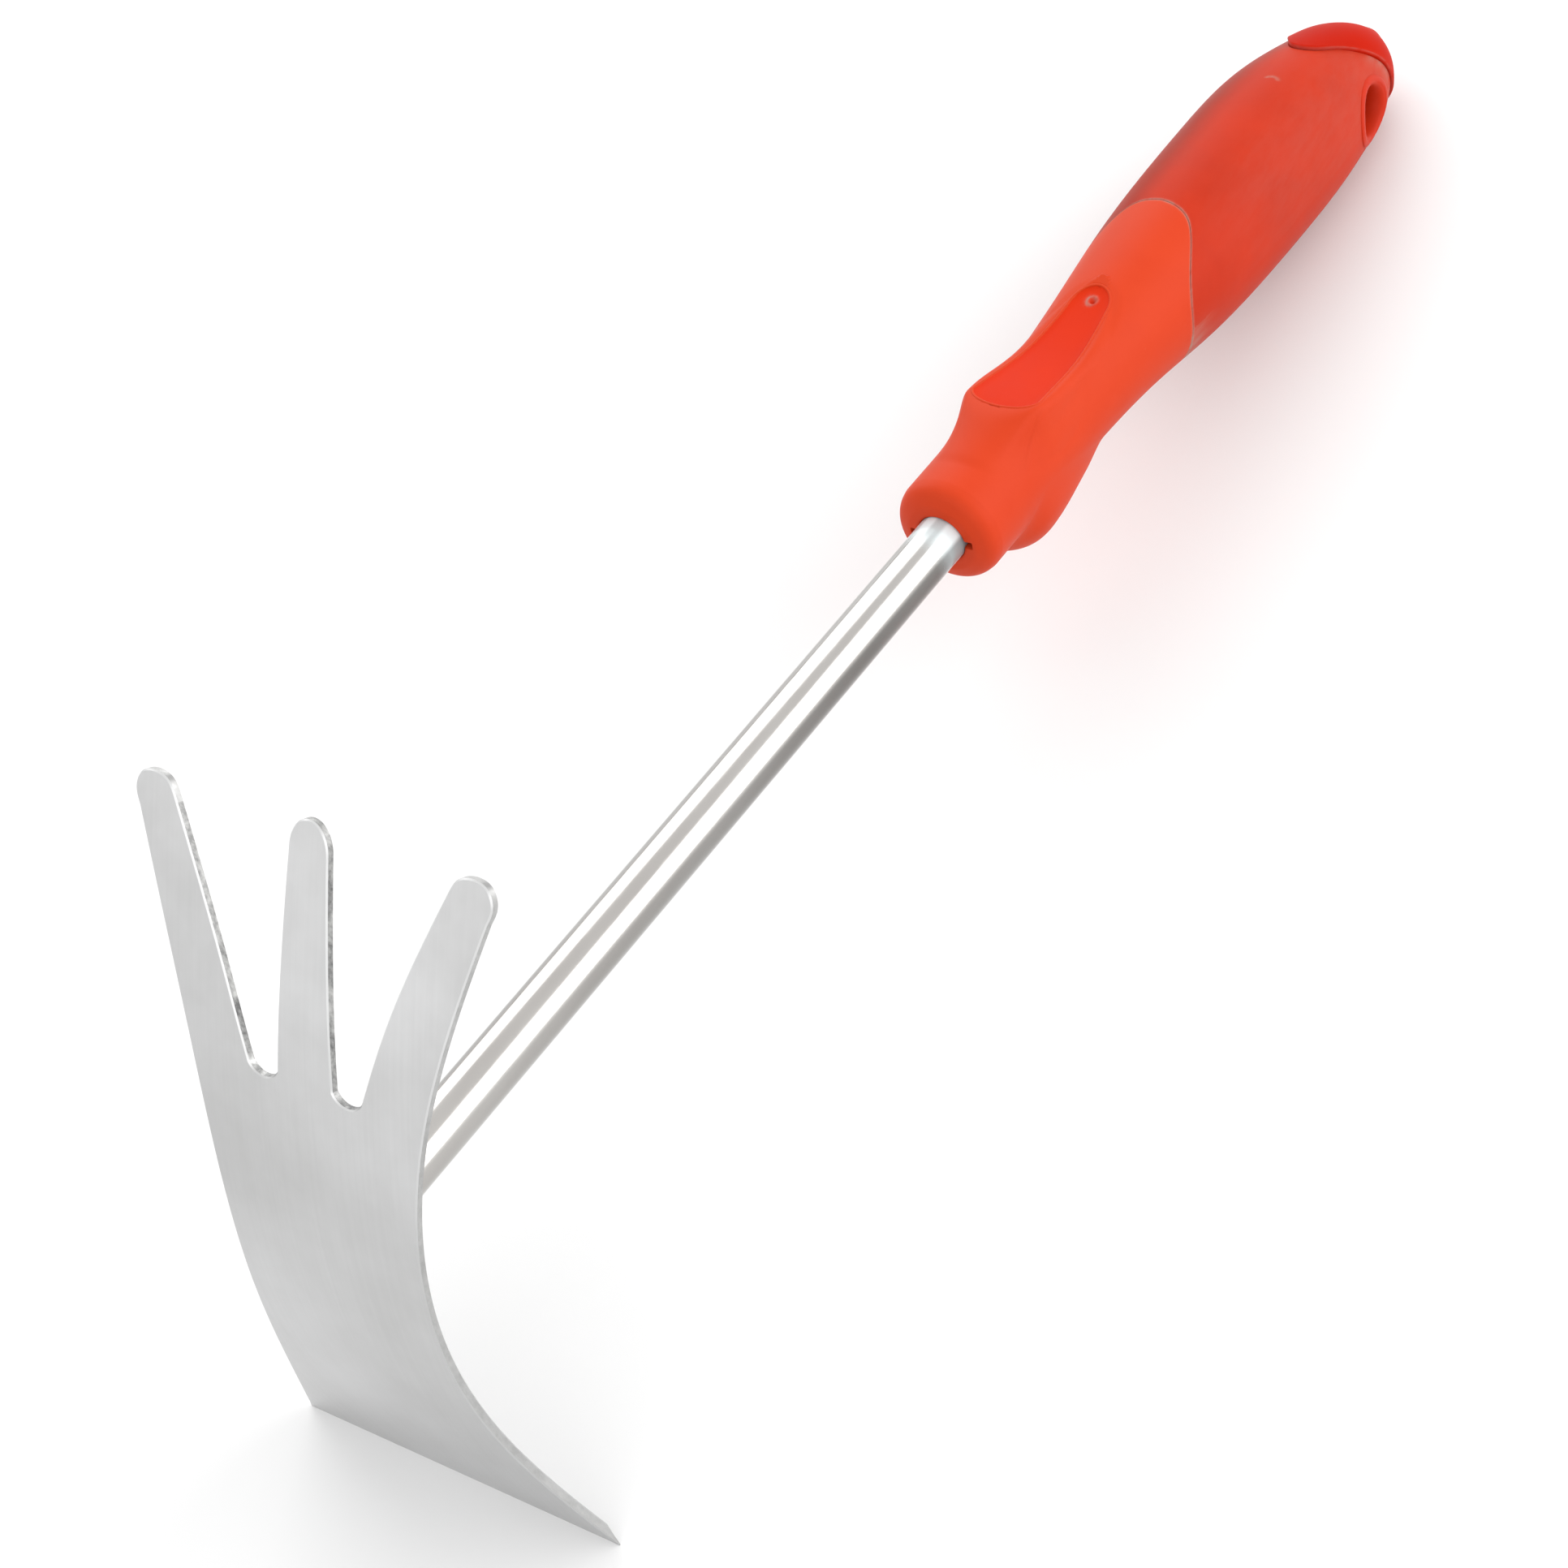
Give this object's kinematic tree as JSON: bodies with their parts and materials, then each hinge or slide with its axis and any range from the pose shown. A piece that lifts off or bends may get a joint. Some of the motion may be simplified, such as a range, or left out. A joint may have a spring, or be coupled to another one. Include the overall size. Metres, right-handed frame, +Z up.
{
  "type": "hand cultivator",
  "caption": "Hand cultivator with tines and a hoe blade on one bent steel plate, a straight tube shaft and a moulded grip with a thumb rest and a hang hole.",
  "frame": {"origin": "bottom centre of the tool's box, as it lies on its hoe edge and the underside of its grip", "axes": "+X from the head towards the butt, +Y across the tool along the hang hole, +Z up, tines upward"},
  "size_m": [0.4472, 0.0868, 0.1633],
  "materials": {
    "plate_steel": "satin stainless, finely brushed along the tines",
    "weld_steel": "as-welded stainless bead",
    "polished_tube": "polished stainless",
    "core_plastic": "as moulded, unseen",
    "grip_plastic": "satin orange-red",
    "thumb_rubber": "soft satin, deeper red",
    "gel": "semi-translucent gel with a dusty bloom",
    "cap_plastic": "satin orange-red",
    "ring_plastic": "satin orange-red"
  },
  "bodies": {
    "root": {"head_plate": "plate_steel", "weld_bead": "weld_steel", "shaft_tube": "polished_tube", "handle_core": "core_plastic", "front_grip": "grip_plastic", "thumb_pad": "thumb_rubber", "gel_grip": "gel", "end_cap": "cap_plastic", "hang_ring": "ring_plastic"}
  },
  "joints": []
}
